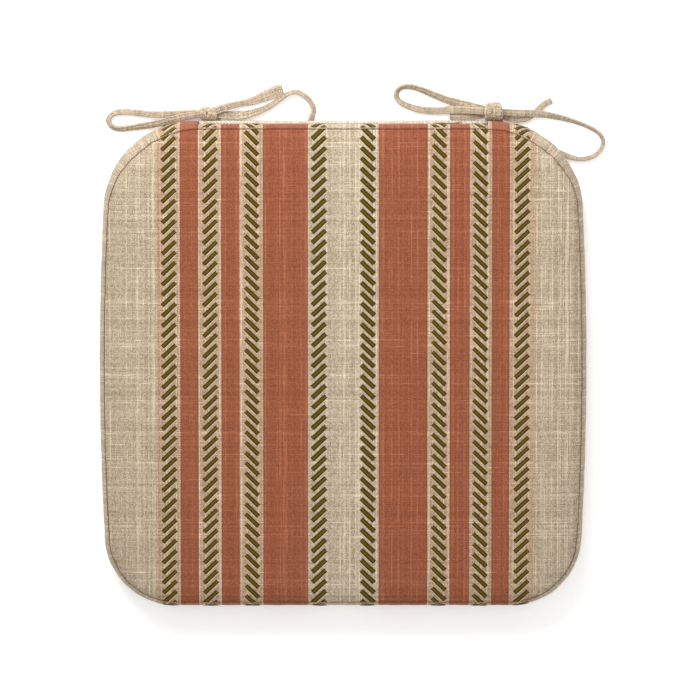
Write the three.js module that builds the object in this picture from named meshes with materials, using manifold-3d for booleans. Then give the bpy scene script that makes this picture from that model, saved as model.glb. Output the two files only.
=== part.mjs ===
// Chair seat pad: a boxed fabric cover over a foam core, closed by a zip across the back
// edge, with two pairs of fabric ties knotted in a bow near the back corners.
//
// Millimetres, +Z up. +Y points to the back edge, where the ties are, and +X to the right
// of someone looking down on the pad with the back edge away from them. The origin is on
// the floor under the middle of the pad.

import * as THREE from 'three';
import { mergeVertices } from 'three/addons/utils/BufferGeometryUtils.js';
import Module from 'manifold-3d';

const wasm = await Module();
wasm.setup();

// ---------------------------------------------------------------- driving dimensions

// Plan of the pad
const padWidth = 406;
const padDepth = 405;
const backCornerRadius = 75;
const frontCornerRadius = 59;
const sideBow = 3.5;

// Heights
const topSeamHeight = 35;
const crown = 5;
const crownSoftness = 7;
const boxingBulge = 3.5;

// Cloth and the room left between neighbours
const clothThickness = 0.8;
const gap = 0.3;
const looseGap = 0.45;
const seamAllowance = 6;
const seamThreadSize = 0.5;

// Filling
const foamSideRoom = 8;
const foamEdgeBevel = 2;
const waddingThickness = 2.8;

// Zip
const backSeamRoom = 4.5;
const zipMouthRoom = 0.6;
const zipPlaneInset = 4.8;
const zipTapeWidth = 8;
const zipTapeThickness = 0.6;
const zipTapeEndRoom = 2;
const coilWidth = 1.6;
const coilThickness = 2;
const coilSpacing = 1.2;
const coilEndRoom = 14;
const stopLength = 2.2;
const upperStripSetBack = 1.2;

// Zip slider and its pull
const sliderLength = 9;
const sliderWidth = 7.8;
const sliderTailWidth = 6.4;
const sliderPlateThickness = 1;
const sliderNeckLength = 2;
const sliderNeckWidth = 0.6;
const sliderEndRoom = 1.8;
const bridgeSpan = 5;
const bridgeThickness = 0.6;
const bridgeWidth = 1.2;
const bridgeClearance = 1.5;
const pullLength = 20;
const pullWidth = 5.5;
const pullThickness = 0.9;
const pullEyeLength = 3.8;
const pullEyeWidth = 2.4;
const pullEyeWall = 0.9;
const pullEndRoom = 4;

// Ties
const tieWidth = 6.4;
const tieThickness = 2.6;
const tieStep = 5;
const leftBowFromCorner = 12.2;
const rightBowFromCorner = -1.3;

// Facets
const cornerSteps = 8;
const sideSteps = 6;
const frontSteps = 3;

// ---------------------------------------------------------------- finishes

function cloth(colour) {
  return new THREE.MeshStandardMaterial({ color: colour, roughness: 0.9, metalness: 0 });
}

const striped = () => cloth(0xa05e43);
const linen = () => cloth(0xc0ae97);
const filling = () => cloth(0xf0ead8);
const zipCloth = () => cloth(0xb8a68c);
const sewingThread = () => cloth(0x6b4a36);
const nylon = () => new THREE.MeshStandardMaterial({ color: 0xb5a284, roughness: 0.5, metalness: 0 });
const brass = () => new THREE.MeshStandardMaterial({ color: 0x8c7a52, roughness: 0.4, metalness: 0.9 });

// ---------------------------------------------------------------- solids

// A geometry as a solid that can be joined and cut.
function solidOf(geometry) {
  const bare = geometry.index ? geometry.toNonIndexed() : geometry.clone();
  bare.deleteAttribute('normal');
  bare.deleteAttribute('uv');
  const merged = mergeVertices(bare, 1e-4);
  return new wasm.Manifold(new wasm.Mesh({
    numProp: 3,
    vertProperties: new Float32Array(merged.attributes.position.array),
    triVerts: new Uint32Array(merged.index.array),
  }));
}

function geometryOf(solid) {
  const mesh = solid.getMesh();
  const geometry = new THREE.BufferGeometry();
  geometry.setAttribute('position', new THREE.BufferAttribute(mesh.vertProperties, 3));
  geometry.setIndex(new THREE.BufferAttribute(mesh.triVerts, 1));
  return geometry;
}

// Joins loops of points, each to the next. With caps, the flat outline of a loop closes
// both ends; without them, the last loop joins back to the first.
function loft(loops, caps) {
  const count = loops[0].length;
  const positions = loops.flat().flatMap((point) => point.toArray());
  const index = [];
  const bands = caps ? loops.length - 1 : loops.length;
  for (let band = 0; band < bands; band += 1) {
    const here = band * count;
    const next = ((band + 1) % loops.length) * count;
    for (let i = 0; i < count; i += 1) {
      const j = (i + 1) % count;
      index.push(here + i, here + j, next + j);
      index.push(here + i, next + j, next + i);
    }
  }
  if (caps) {
    const last = (loops.length - 1) * count;
    const turned = THREE.ShapeUtils.isClockWise(caps);
    for (const face of THREE.ShapeUtils.triangulateShape(caps, [])) {
      const [a, b, c] = turned ? face.slice().reverse() : face;
      index.push(a, c, b);
      index.push(last + a, last + b, last + c);
    }
  }
  const geometry = new THREE.BufferGeometry();
  geometry.setAttribute('position', new THREE.Float32BufferAttribute(positions, 3));
  geometry.setIndex(index);
  return facingOut(geometry);
}

// Turns every face of a closed geometry over if they point inwards.
function facingOut(geometry) {
  const at = geometry.attributes.position;
  const index = geometry.index.array;
  const [a, b, c] = [new THREE.Vector3(), new THREE.Vector3(), new THREE.Vector3()];
  let volume = 0;
  for (let i = 0; i < index.length; i += 3) {
    a.fromBufferAttribute(at, index[i]);
    b.fromBufferAttribute(at, index[i + 1]);
    c.fromBufferAttribute(at, index[i + 2]);
    volume += a.dot(b.cross(c));
  }
  if (volume < 0) {
    for (let i = 0; i < index.length; i += 3) {
      [index[i], index[i + 1]] = [index[i + 1], index[i]];
    }
  }
  return geometry;
}

function box(low, high) {
  const size = new THREE.Vector3().subVectors(high, low);
  const geometry = new THREE.BoxGeometry(size.x, size.y, size.z);
  geometry.translate(...low.clone().add(high).multiplyScalar(0.5).toArray());
  return geometry;
}

// A box given by its middle and its half sizes, ready to be joined or cut.
function block(x, y, z, halfX, halfY, halfZ) {
  const low = new THREE.Vector3(x - halfX, y - halfY, z - halfZ);
  const high = new THREE.Vector3(x + halfX, y + halfY, z + halfZ);
  return solidOf(box(low, high));
}

const seatPad = new THREE.Group();

function add(name, geometry, material, parent = seatPad) {
  const mesh = new THREE.Mesh(geometry, material);
  mesh.name = name;
  parent.add(mesh);
  return mesh;
}

// ---------------------------------------------------------------- plan outline

// The back corners start to turn at this distance from the middle. The back seams stand on
// the straight run of the back edge, just short of it.
const cornerStartX = padWidth / 2 - sideBow - backCornerRadius;
const backSeamX = cornerStartX - backSeamRoom;

// The outline of the pad drawn in by an inset, anticlockwise from the left end of the back
// seam to its right end. The straight run between those two ends closes the loop.
function outline(inset) {
  const halfWidth = padWidth / 2 - sideBow - inset;
  const halfDepth = padDepth / 2 - inset;
  const back = backCornerRadius - inset;
  const front = frontCornerRadius - inset;
  const points = [new THREE.Vector2(-backSeamX, halfDepth)];
  const arc = (x, y, radius, start) => {
    for (let i = 0; i <= cornerSteps; i += 1) {
      const angle = start + (Math.PI / 2) * (i / cornerSteps);
      points.push(new THREE.Vector2(x + radius * Math.cos(angle), y + radius * Math.sin(angle)));
    }
  };
  const side = (x, from, to) => {
    for (let i = 1; i < sideSteps; i += 1) {
      const t = i / sideSteps;
      const bow = sideBow * 4 * t * (1 - t);
      points.push(new THREE.Vector2(x + Math.sign(x) * bow, THREE.MathUtils.lerp(from, to, t)));
    }
  };
  arc(-halfWidth + back, halfDepth - back, back, Math.PI / 2);
  side(-halfWidth, halfDepth - back, -halfDepth + front);
  arc(-halfWidth + front, -halfDepth + front, front, Math.PI);
  for (let i = 1; i < frontSteps; i += 1) {
    const x = THREE.MathUtils.lerp(-halfWidth + front, halfWidth - front, i / frontSteps);
    points.push(new THREE.Vector2(x, -halfDepth));
  }
  arc(halfWidth - front, -halfDepth + front, front, 1.5 * Math.PI);
  side(halfWidth, -halfDepth + front, halfDepth - back);
  arc(halfWidth - back, halfDepth - back, back, 0);
  points.push(new THREE.Vector2(backSeamX, halfDepth));
  return points;
}

function ring(inset, z, scale = 1) {
  return outline(inset).map((point) => new THREE.Vector3(point.x * scale, point.y * scale, z));
}

// ---------------------------------------------------------------- top and bottom panels

const boxingFoot = clothThickness + 0.1;
const panelEdgeInset = boxingBulge + clothThickness + 0.4;
const crownInsets = [0, 1.5, 5, 20, 36];
const crownScales = [0.66, 0.33];

function crownRise(fromEdge) {
  return crown * (1 - Math.exp(-fromEdge / crownSoftness));
}

// The crowned surface, from the panel's edge to its middle, lowered by a depth. Near the
// edge it also moves in by that depth, so that a lower layer keeps clear of the turned edge.
function crownLoops(depth) {
  const loops = crownInsets.map((fromEdge) => {
    const moved = Math.max(fromEdge, depth);
    return ring(panelEdgeInset + moved, topSeamHeight + crownRise(moved) - depth);
  });
  const deepest = crownInsets[crownInsets.length - 1];
  for (const scale of crownScales) {
    const rise = crown + (crownRise(deepest) - crown) * scale;
    loops.push(ring(panelEdgeInset + deepest, topSeamHeight + rise - depth, scale));
  }
  return loops;
}

const flangeInset = panelEdgeInset + clothThickness;
const topPanelLoops = [
  ...crownLoops(0).reverse(),
  ring(panelEdgeInset, topSeamHeight - seamAllowance),
  ring(flangeInset, topSeamHeight - seamAllowance),
  ...crownLoops(clothThickness),
];
add('top_panel', loft(topPanelLoops, outline(panelEdgeInset)), striped());

const bottomPanelLoops = [
  ring(panelEdgeInset, 0),
  ring(panelEdgeInset, clothThickness + seamAllowance),
  ring(flangeInset, clothThickness + seamAllowance),
  ring(flangeInset, clothThickness),
];
add('bottom_panel', loft(bottomPanelLoops, outline(panelEdgeInset)), linen());

// ---------------------------------------------------------------- boxing

const boxingMiddle = (boxingFoot + topSeamHeight) / 2;
const boxingHalf = (topSeamHeight - boxingFoot) / 2;
const boxingLevels = [-1, -0.55, 0, 0.55, 1];

// How far in the boxing's outer face lies, at a level from -1 at its foot to 1 at its top.
function boxingInset(level) {
  return boxingBulge * level * level;
}

function wallProfile(outer) {
  const inner = outer.map(([inset, z]) => [inset + clothThickness, z]).reverse();
  return [...outer, ...inner];
}

const sideWallOuter = boxingLevels.map((level) => {
  return [boxingInset(level), boxingMiddle + boxingHalf * level];
});
const sideWall = wallProfile(sideWallOuter);
const sideWallRings = sideWall.map(([inset, z]) => ring(inset, z));
const sideWallLoops = sideWallRings[0].map((point, i) => sideWallRings.map((loop) => loop[i]));
const sideWallCap = sideWall.map(([inset, z]) => new THREE.Vector2(inset, z));
add('boxing_front_and_sides', loft(sideWallLoops, sideWallCap), striped());

// A profile of insets and heights, drawn straight along the back edge.
function alongBack(profile, half) {
  const loops = [-half, half].map((x) => {
    return profile.map(([inset, z]) => new THREE.Vector3(x, padDepth / 2 - inset, z));
  });
  return loft(loops, profile.map(([inset, z]) => new THREE.Vector2(inset, z)));
}

// The zip lies at mid height, in a mouth just wide enough for its slider.
const zipHeight = boxingMiddle;
const zipMouth = sliderWidth + 2 * zipMouthRoom;
const lipInset = zipPlaneInset - zipTapeThickness / 2 - gap - clothThickness;
const upperHeight = topSeamHeight - zipHeight - zipMouth / 2;
const lowerHeight = zipHeight - zipMouth / 2 - boxingFoot;

// From the seam to the lip at the zip's mouth: the share of the strip's height, and the inset.
const upperStripShape = [
  [1, boxingBulge],
  [0.76, upperStripSetBack + 0.5],
  [0.44, upperStripSetBack],
  [0.15, upperStripSetBack + 0.7],
  [0, lipInset],
];
const lowerStripShape = [
  [1, boxingBulge],
  [0.8, 1.2],
  [0.44, 0],
  [0.15, 0.9],
  [0, lipInset],
];
const upperStripOuter = upperStripShape.map(([share, inset]) => {
  return [inset, zipHeight + zipMouth / 2 + upperHeight * share];
});
const lowerStripOuter = lowerStripShape.map(([share, inset]) => {
  return [inset, zipHeight - zipMouth / 2 - lowerHeight * share];
});
// The two strips beside the zip run straight between the ends of the long boxing strip.
add('boxing_back_upper', alongBack(wallProfile(upperStripOuter), backSeamX - gap), striped());
add('boxing_back_lower', alongBack(wallProfile(lowerStripOuter), backSeamX - gap), linen());

// ---------------------------------------------------------------- seam threads

// The stitched line lies in the groove between the boxing's edge and the panel.
function seamThread(name, low) {
  const outer = panelEdgeInset - gap - seamThreadSize;
  const inner = panelEdgeInset - gap;
  const high = low + seamThreadSize;
  const loops = [ring(outer, low), ring(inner, low), ring(inner, high), ring(outer, high)];
  add(name, loft(loops), sewingThread());
}
seamThread('top_seam_thread', topSeamHeight + gap);
seamThread('bottom_seam_thread', boxingFoot - gap - seamThreadSize);

// ---------------------------------------------------------------- filling

const waddingInset = panelEdgeInset + clothThickness + looseGap;
const waddingFoot = clothThickness + gap;
const foamFoot = waddingFoot + waddingThickness + gap;
const foamTop = topSeamHeight - waddingThickness - clothThickness - gap;

const foamLoops = [
  ring(foamSideRoom + foamEdgeBevel, foamFoot),
  ring(foamSideRoom, foamFoot + foamEdgeBevel),
  ring(foamSideRoom, foamTop - foamEdgeBevel),
  ring(foamSideRoom + foamEdgeBevel, foamTop),
];
add('foam_core', loft(foamLoops, outline(foamSideRoom)), filling());

const lowerWaddingLoops = [
  ring(waddingInset, waddingFoot),
  ring(waddingInset, waddingFoot + waddingThickness),
];
add('wadding_bottom', loft(lowerWaddingLoops, outline(waddingInset)), filling());

const upperWaddingLoops = [
  ring(waddingInset, foamTop + gap),
  ...crownLoops(clothThickness + looseGap),
];
add('wadding_top', loft(upperWaddingLoops, outline(waddingInset)), filling());

// ---------------------------------------------------------------- zip

// The zip's own frame: x along the zip, y out of the pad from the middle of the coils, and
// z across the zip from its middle.
const zip = new THREE.Group();
zip.position.set(0, padDepth / 2 - zipPlaneInset, zipHeight);
seatPad.add(zip);

const sliderX = backSeamX - pullLength - pullEndRoom;
const tapeHalfLength = backSeamX - zipTapeEndRoom;
const coilStart = -backSeamX + coilEndRoom;
const coilEnd = sliderX + sliderLength / 2 + sliderEndRoom;
const coilNear = coilSpacing / 2;
const coilFar = coilNear + coilWidth;
const tapeNear = coilFar + gap;
const coilHalf = coilThickness / 2;

for (const [side, sign] of [['upper', 1], ['lower', -1]]) {
  const across = (near, far) => [Math.min(sign * near, sign * far), Math.max(sign * near, sign * far)];
  const strip = (startX, endX, halfY, near, far) => {
    const [low, high] = across(near, far);
    return box(new THREE.Vector3(startX, -halfY, low), new THREE.Vector3(endX, halfY, high));
  };
  const tape = strip(-tapeHalfLength, tapeHalfLength, zipTapeThickness / 2, tapeNear, tapeNear + zipTapeWidth);
  const coil = strip(coilStart, coilEnd, coilHalf, coilNear, coilFar);
  const stop = strip(coilEnd + gap, coilEnd + gap + stopLength, coilHalf + 0.2, coilNear - 0.1, coilFar);
  add('zip_tape_' + side, tape, zipCloth(), zip);
  add('zip_coil_' + side, coil, nylon(), zip);
  add('zip_top_stop_' + side, stop, brass(), zip);
}
const endStopStart = coilStart - gap - stopLength;
const endStop = box(
  new THREE.Vector3(endStopStart, -coilHalf - 0.2, -coilFar),
  new THREE.Vector3(coilStart - gap, coilHalf + 0.2, coilFar),
);
add('zip_end_stop', endStop, brass(), zip);

// ---------------------------------------------------------------- zip slider

// Two plates round the coils, joined by a neck between them, with a side wall above and
// below each tape and a bridge that holds the pull.
function sliderPlate() {
  const half = sliderLength / 2;
  const nose = sliderWidth / 2;
  const tail = sliderTailWidth / 2;
  const shape = new THREE.Shape();
  shape.moveTo(-half + 1, -tail);
  shape.lineTo(half - 2, -nose);
  shape.quadraticCurveTo(half, -nose, half, 0);
  shape.quadraticCurveTo(half, nose, half - 2, nose);
  shape.lineTo(-half + 1, tail);
  shape.quadraticCurveTo(-half, tail, -half, 0);
  shape.quadraticCurveTo(-half, -tail, -half + 1, -tail);
  const depth = sliderPlateThickness;
  const geometry = new THREE.ExtrudeGeometry(shape, { depth, bevelEnabled: false, curveSegments: 4 });
  geometry.rotateX(Math.PI / 2);
  geometry.translate(0, depth / 2, 0);
  return solidOf(geometry);
}

const plateY = coilHalf + gap + sliderPlateThickness / 2;
const plateTop = plateY + sliderPlateThickness / 2;
const wallInner = coilFar + 0.4;
const wallHalf = (sliderTailWidth / 2 - 0.1 - wallInner) / 2;
const wallLow = zipTapeThickness / 2 + gap;
const bridgeY = plateTop + bridgeClearance + bridgeThickness / 2;

let slider = sliderPlate().translate([0, plateY, 0]);
slider = slider.add(sliderPlate().translate([0, -plateY, 0]));
const neckX = sliderLength / 2 - 1 - sliderNeckLength / 2;
slider = slider.add(block(neckX, 0, 0, sliderNeckLength / 2, plateY, sliderNeckWidth / 2));
for (const out of [-1, 1]) {
  for (const up of [-1, 1]) {
    const y = out * (wallLow + plateY) / 2;
    const z = up * (wallInner + wallHalf);
    slider = slider.add(block(0, y, z, sliderLength / 2 - 1.5, (plateY - wallLow) / 2, wallHalf));
  }
  const legX = out * (bridgeSpan - bridgeThickness) / 2;
  const legHalf = (bridgeY + bridgeThickness / 2 - plateY) / 2;
  const leg = block(legX, plateY + legHalf, 0, bridgeThickness / 2, legHalf, bridgeWidth / 2);
  slider = slider.add(leg);
}
slider = slider.add(block(0, bridgeY, 0, bridgeSpan / 2, bridgeThickness / 2, bridgeWidth / 2));
add('zip_slider', geometryOf(slider), brass(), zip).position.x = sliderX;

// ---------------------------------------------------------------- zip pull

// A flat tab. Its eye goes round the bridge, and the bar that ends it turns under the bridge.
function pullTab() {
  const eyeHalf = pullEyeWidth / 2;
  const neckHalf = eyeHalf + pullEyeWall;
  const tabHalf = pullWidth / 2;
  const barEnd = pullThickness / 2;
  const shoulder = -pullEyeLength - 1;
  const shape = new THREE.Shape();
  shape.moveTo(barEnd, -neckHalf);
  shape.lineTo(barEnd, neckHalf);
  shape.lineTo(shoulder, neckHalf);
  shape.lineTo(shoulder - 2, tabHalf);
  shape.lineTo(-pullLength + 2, tabHalf);
  shape.quadraticCurveTo(-pullLength, tabHalf, -pullLength, 0);
  shape.quadraticCurveTo(-pullLength, -tabHalf, -pullLength + 2, -tabHalf);
  shape.lineTo(shoulder - 2, -tabHalf);
  shape.lineTo(shoulder, -neckHalf);
  shape.closePath();
  const eye = new THREE.Path();
  eye.moveTo(-barEnd, -eyeHalf);
  eye.lineTo(-pullEyeLength, -eyeHalf);
  eye.lineTo(-pullEyeLength, eyeHalf);
  eye.lineTo(-barEnd, eyeHalf);
  eye.closePath();
  shape.holes.push(eye);
  const depth = pullThickness;
  const geometry = new THREE.ExtrudeGeometry(shape, { depth, bevelEnabled: false, curveSegments: 5 });
  geometry.rotateX(Math.PI / 2);
  geometry.translate(0, depth / 2, 0);
  return geometryOf(solidOf(geometry));
}
add('zip_pull', pullTab(), brass(), zip).position.set(sliderX, plateTop + bridgeClearance / 2, 0);

// ---------------------------------------------------------------- ties

// Everything the ties must stay clear of at the pad: its outer face, moved out by the gap.
const coverLoops = boxingLevels.map((level) => {
  return ring(boxingInset(level) - gap, boxingMiddle + (boxingHalf + gap) * level);
});
const lowerStripRoom = lowerStripOuter.map(([inset, z]) => [inset - gap, z]);
const lowerStripBack = lowerStripOuter.map(([, z]) => [panelEdgeInset, z]).reverse();
const stripRoom = alongBack([...lowerStripRoom, ...lowerStripBack], backSeamX);
const coverRoom = solidOf(loft(coverLoops, outline(0))).add(solidOf(stripRoom));

// A run of tape that stays level across its width, however its line bends.
class LevelRun extends THREE.CatmullRomCurve3 {
  computeFrenetFrames(steps) {
    const frames = { tangents: [], normals: [], binormals: [] };
    const up = new THREE.Vector3(0, 0, 1);
    for (let i = 0; i <= steps; i += 1) {
      const tangent = this.getTangentAt(i / steps);
      const binormal = new THREE.Vector3().crossVectors(tangent, up).normalize();
      frames.tangents.push(tangent);
      frames.binormals.push(binormal);
      frames.normals.push(new THREE.Vector3().crossVectors(binormal, tangent));
    }
    return frames;
  }
}

function tieTube(points) {
  const curve = new LevelRun(points.map((point) => new THREE.Vector3(...point)));
  const section = new THREE.Shape();
  section.absellipse(0, 0, tieThickness / 2, tieWidth / 2, 0, 2 * Math.PI, false, 0);
  const steps = Math.round(curve.getLength() / tieStep);
  return solidOf(new THREE.ExtrudeGeometry(section, { extrudePath: curve, steps, curveSegments: 4 }));
}

function knotBall(centre, radii, grow) {
  const geometry = new THREE.SphereGeometry(1, 14, 10);
  geometry.scale(radii[0] + grow, radii[1] + grow, radii[2] + grow);
  geometry.translate(...centre);
  return solidOf(geometry);
}

// A bow in its own frame: x and y from the point on the back edge beside its knot, z up from
// the floor. Each strand runs through the knot's middle or into the pad and is cut back there.
// The bows stand a little way along the back edge, towards the middle, from the corners.
function bow(side, x, knot, strands) {
  const place = new THREE.Group();
  place.position.set(x, padDepth / 2, 0);
  seatPad.add(place);
  const pad = coverRoom.translate([-x, -padDepth / 2, 0]);
  const knotRoom = knotBall(knot.centre, knot.radii, gap);
  for (const [name, points] of Object.entries(strands)) {
    const pieces = tieTube(points).subtract(knotRoom).subtract(pad).decompose();
    const kept = pieces.reduce((a, b) => (a.volume() > b.volume() ? a : b));
    add('tie_' + side + '_' + name, geometryOf(kept), linen(), place);
  }
  const ball = knotBall(knot.centre, knot.radii, 0).subtract(pad);
  add('tie_' + side + '_knot', geometryOf(ball), linen(), place);
}

bow('left', -cornerStartX + leftBowFromCorner, { centre: [0, 5.6, 6], radii: [8.5, 5, 5.4] }, {
  lead: [
    [84, -9, 2.2], [84.6, -2, 2.2], [86.6, 4.5, 2], [87.6, 9.5, 1.8], [85.6, 14.6, 1.8],
    [80.8, 20, 2.2], [73.8, 23.8, 4], [66.4, 22.2, 5], [60, 18.2, 4.6], [53.4, 13.4, 2.4],
    [43.2, 8.4, 1.8], [30, 4.6, 2], [17, 4.2, 3], [8, 5, 4.4], [0, 5.6, 5.4],
  ],
  loop: [
    [0, 5.6, 8], [-8.5, 5.2, 8.4], [-20.5, 3.2, 8.4], [-30, 0.9, 7.8], [-38.5, -1.3, 6],
    [-48, -3.4, 3.6], [-58, -5, 2], [-68, -6.1, 1.8], [-75.8, -6, 1.8], [-81.6, -3.2, 1.8],
    [-82.6, 0.8, 1.8], [-78.4, 5, 1.8], [-70.6, 6.8, 1.8], [-60, 6.4, 1.8], [-50, 5.4, 2],
    [-42, 5.2, 3], [-33, 5.4, 4.7], [-22, 6.1, 5], [-10, 6.4, 5], [0, 5.6, 5],
  ],
  tail: [
    [0, 5.6, 8], [6, 8.4, 8], [12, 10.5, 6.8], [18, 12.3, 4.8], [26, 14, 2.6],
    [36, 16, 1.8], [47, 20.4, 1.7], [55, 23.6, 1.7], [62, 25.6, 1.7],
  ],
  short_tail: [
    [0, 5.6, 2.2], [-10, 5.4, 1.8], [-20, 5, 1.6], [-29, 4.4, 1.6],
  ],
});

bow('right', cornerStartX - rightBowFromCorner, { centre: [0, 7.6, 6.8], radii: [7, 7, 6.2] }, {
  lead: [
    [50, -26, 2.2], [57, -28, 2.2], [64, -30.4, 2], [71, -32, 1.8], [79.4, -31.2, 1.8],
    [86.1, -27.6, 1.8], [90.2, -21.9, 1.8], [90.9, -16.1, 1.8], [87, -10.3, 1.8],
    [79.4, -5.6, 1.8], [69.9, -1.8, 1.9], [60.3, 1.2, 2.6], [50.6, 3.5, 4], [41, 5.1, 5],
    [30, 6, 5.2], [18, 6.4, 5.6], [8, 7, 6], [0, 7.6, 6.4],
  ],
  loop: [
    [0, 7.6, 5], [-8.4, 9.6, 4.8], [-20, 12.4, 4.2], [-35.9, 16, 2], [-48.4, 20.8, 1.8],
    [-61.2, 26, 1.8], [-70, 28.4, 1.8], [-77.6, 27.4, 1.8], [-81.6, 22.4, 1.8],
    [-79.6, 16.6, 1.8], [-71.8, 12.2, 1.8], [-61.2, 9.2, 2], [-48.5, 8.2, 3.4],
    [-38, 8.6, 5.2], [-28, 8.6, 7], [-18, 8.2, 8.4], [-8, 7.8, 8.8], [0, 7.6, 9],
  ],
  tail: [
    [0, 7.6, 2.4], [6, 3.6, 2], [13, 1.6, 1.8], [20, 0.8, 1.8], [27, 2, 1.8],
    [33.4, 5.6, 1.8], [38, 10.4, 1.8], [42.6, 14, 1.8], [48, 16.8, 1.8],
  ],
  short_tail: [
    [0, 7.6, 2.4], [-7, 4.6, 2], [-13, 3.2, 1.8], [-20, 2.8, 1.7], [-28, 2.7, 1.7],
    [-37, 2.8, 1.7],
  ],
});

export default seatPad;
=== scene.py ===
import math

import bmesh
import bpy
import numpy as np
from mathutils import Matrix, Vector
from mathutils.bvhtree import BVHTree


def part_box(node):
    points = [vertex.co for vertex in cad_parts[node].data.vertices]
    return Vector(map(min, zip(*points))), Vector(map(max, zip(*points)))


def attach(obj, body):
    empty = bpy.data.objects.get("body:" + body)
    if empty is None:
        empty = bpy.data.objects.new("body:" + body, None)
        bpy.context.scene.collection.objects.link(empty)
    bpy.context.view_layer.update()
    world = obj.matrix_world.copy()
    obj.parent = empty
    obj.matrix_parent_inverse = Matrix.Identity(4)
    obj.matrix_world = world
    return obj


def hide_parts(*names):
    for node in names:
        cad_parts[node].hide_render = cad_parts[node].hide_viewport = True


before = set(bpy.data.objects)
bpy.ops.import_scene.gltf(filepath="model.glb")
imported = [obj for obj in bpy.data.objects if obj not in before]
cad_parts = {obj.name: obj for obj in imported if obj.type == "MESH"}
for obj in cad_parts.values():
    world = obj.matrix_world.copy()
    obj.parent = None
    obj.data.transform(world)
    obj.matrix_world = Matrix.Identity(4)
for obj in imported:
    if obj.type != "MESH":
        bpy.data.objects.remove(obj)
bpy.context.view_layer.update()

# ---------------------------------------------------------------- camera, floor and light
# The pad lies on a pale floor that gives out a little light, under soft studio light. The
# camera looks almost straight down, leaning five degrees to the back edge and its ties.
MM = 0.001
scene = bpy.context.scene
scene.view_settings.view_transform = "Standard"

camera_lean = math.radians(5)
camera_distance = 4
camera_target = Vector((0.0057, 0.0117, 0.018))
camera_data = bpy.data.cameras.new("studio_camera")
camera_data.lens = 246.6
camera_data.sensor_width = 36
camera_data.clip_start = 0.05
camera = bpy.data.objects.new("studio_camera", camera_data)
camera.location = camera_target + camera_distance * Vector(
    (0, math.sin(camera_lean), math.cos(camera_lean))
)
camera.rotation_euler = (-camera_lean, 0, 0)
scene.collection.objects.link(camera)
scene.camera = camera


def studio_light(name, place, aim, size, power):
    """A square soft light that shines from its place towards a point."""
    data = bpy.data.lights.new(name, "AREA")
    data.size = size
    data.energy = power
    lamp = bpy.data.objects.new(name, data)
    lamp.location = place
    lamp.rotation_euler = (Vector(aim) - Vector(place)).to_track_quat("-Z", "Y").to_euler()
    scene.collection.objects.link(lamp)


studio_light("light_from_the_back", (-0.3, 0.9, 0.85), (0, 0.1, 0), 0.8, 14)
studio_light("light_overhead", (0.3, 0.1, 2.2), (0, 0, 0), 1.6, 11)

world = bpy.data.worlds.new("studio_air")
world.use_nodes = True
world.node_tree.nodes["Background"].inputs["Color"].default_value = (1, 1, 1, 1)
world.node_tree.nodes["Background"].inputs["Strength"].default_value = 0.53
scene.world = world


def colour(red, green, blue):
    """A colour given as it looks on a screen, 0 to 255, as the light values a shader uses."""
    channels = [value / 255 for value in (red, green, blue)]
    return tuple(
        c / 12.92 if c <= 0.04045 else ((c + 0.055) / 1.055) ** 2.4 for c in channels
    ) + (1,)


def add(tree, kind, inputs=None, **settings):
    """Adds a shader node with its settings. An input is given a number or another node's output."""
    node = tree.nodes.new("ShaderNode" + kind)
    for name, value in settings.items():
        setattr(node, name, value)
    for key, value in (inputs or {}).items():
        if isinstance(value, bpy.types.NodeSocket):
            tree.links.new(value, node.inputs[key])
        else:
            node.inputs[key].default_value = value
    return node


def calc(tree, operation, *values):
    """The output of a Math node."""
    return add(tree, "Math", dict(enumerate(values)), operation=operation).outputs[0]


def new_material(name):
    """A material with an empty node tree, and its Principled shader."""
    material = bpy.data.materials.new(name)
    material.use_nodes = True
    tree = material.node_tree
    tree.nodes.clear()
    shader = add(tree, "BsdfPrincipled")
    add(tree, "OutputMaterial", {"Surface": shader.outputs[0]})
    return material, tree, shader


def plain_piece(name, points, faces, material, smooth=True, cloth_map=None):
    """A mesh object with one material. cloth_map gives each point's place on the flat cloth."""
    mesh = bpy.data.meshes.new(name)
    mesh.from_pydata([tuple(p) for p in np.asarray(points, float)], [], faces)
    shape = bmesh.new()
    shape.from_mesh(mesh)
    bmesh.ops.recalc_face_normals(shape, faces=shape.faces)
    shape.to_mesh(mesh)
    shape.free()
    mesh.polygons.foreach_set("use_smooth", [smooth] * len(mesh.polygons))
    if cloth_map is not None:
        corner_points = np.zeros(len(mesh.loops), int)
        mesh.loops.foreach_get("vertex_index", corner_points)
        layer = mesh.uv_layers.new(name="cloth_map")
        layer.uv.foreach_set("vector", np.asarray(cloth_map, np.float32)[corner_points].ravel())
    mesh.update()
    mesh.materials.append(material)
    piece = bpy.data.objects.new(name, mesh)
    scene.collection.objects.link(piece)
    return piece


floor_paint, tree, shader = new_material("studio_floor_paint")
shader.inputs["Base Color"].default_value = (0.93, 0.93, 0.93, 1)
shader.inputs["Roughness"].default_value = 0.9
shader.inputs["Emission Color"].default_value = (1, 1, 1, 1)
shader.inputs["Emission Strength"].default_value = 0.3
floor_reach = 6
floor_drop = 0.4 * MM
floor = plain_piece(
    "studio_floor",
    [(x * floor_reach, y * floor_reach, -floor_drop) for x, y in ((-1, -1), (1, -1), (1, 1), (-1, 1))],
    [(0, 1, 2, 3)],
    floor_paint,
    smooth=False,
)

# ---------------------------------------------------------------- ties
# Four soft ties, each a strip of the linen folded in and topstitched along one edge to a
# tape 6.4 mm across. They are sewn into the bottom seam near the back corners, two a side,
# and each pair is tied in a bow that lies on the floor beside the back edge.
tie_girth = 9.5 * MM
tie_lift = 0.15 * MM
floor_gap = 0.1 * MM
tie_section_points = 28
boxing_low, boxing_high = (Vector(corner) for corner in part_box("boxing_front_and_sides"))
back_edge = boxing_high.y
left_bow_anchor = Vector((-112.3 * MM, back_edge, 0))
right_bow_anchor = Vector((125.8 * MM, back_edge, 0))


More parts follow.
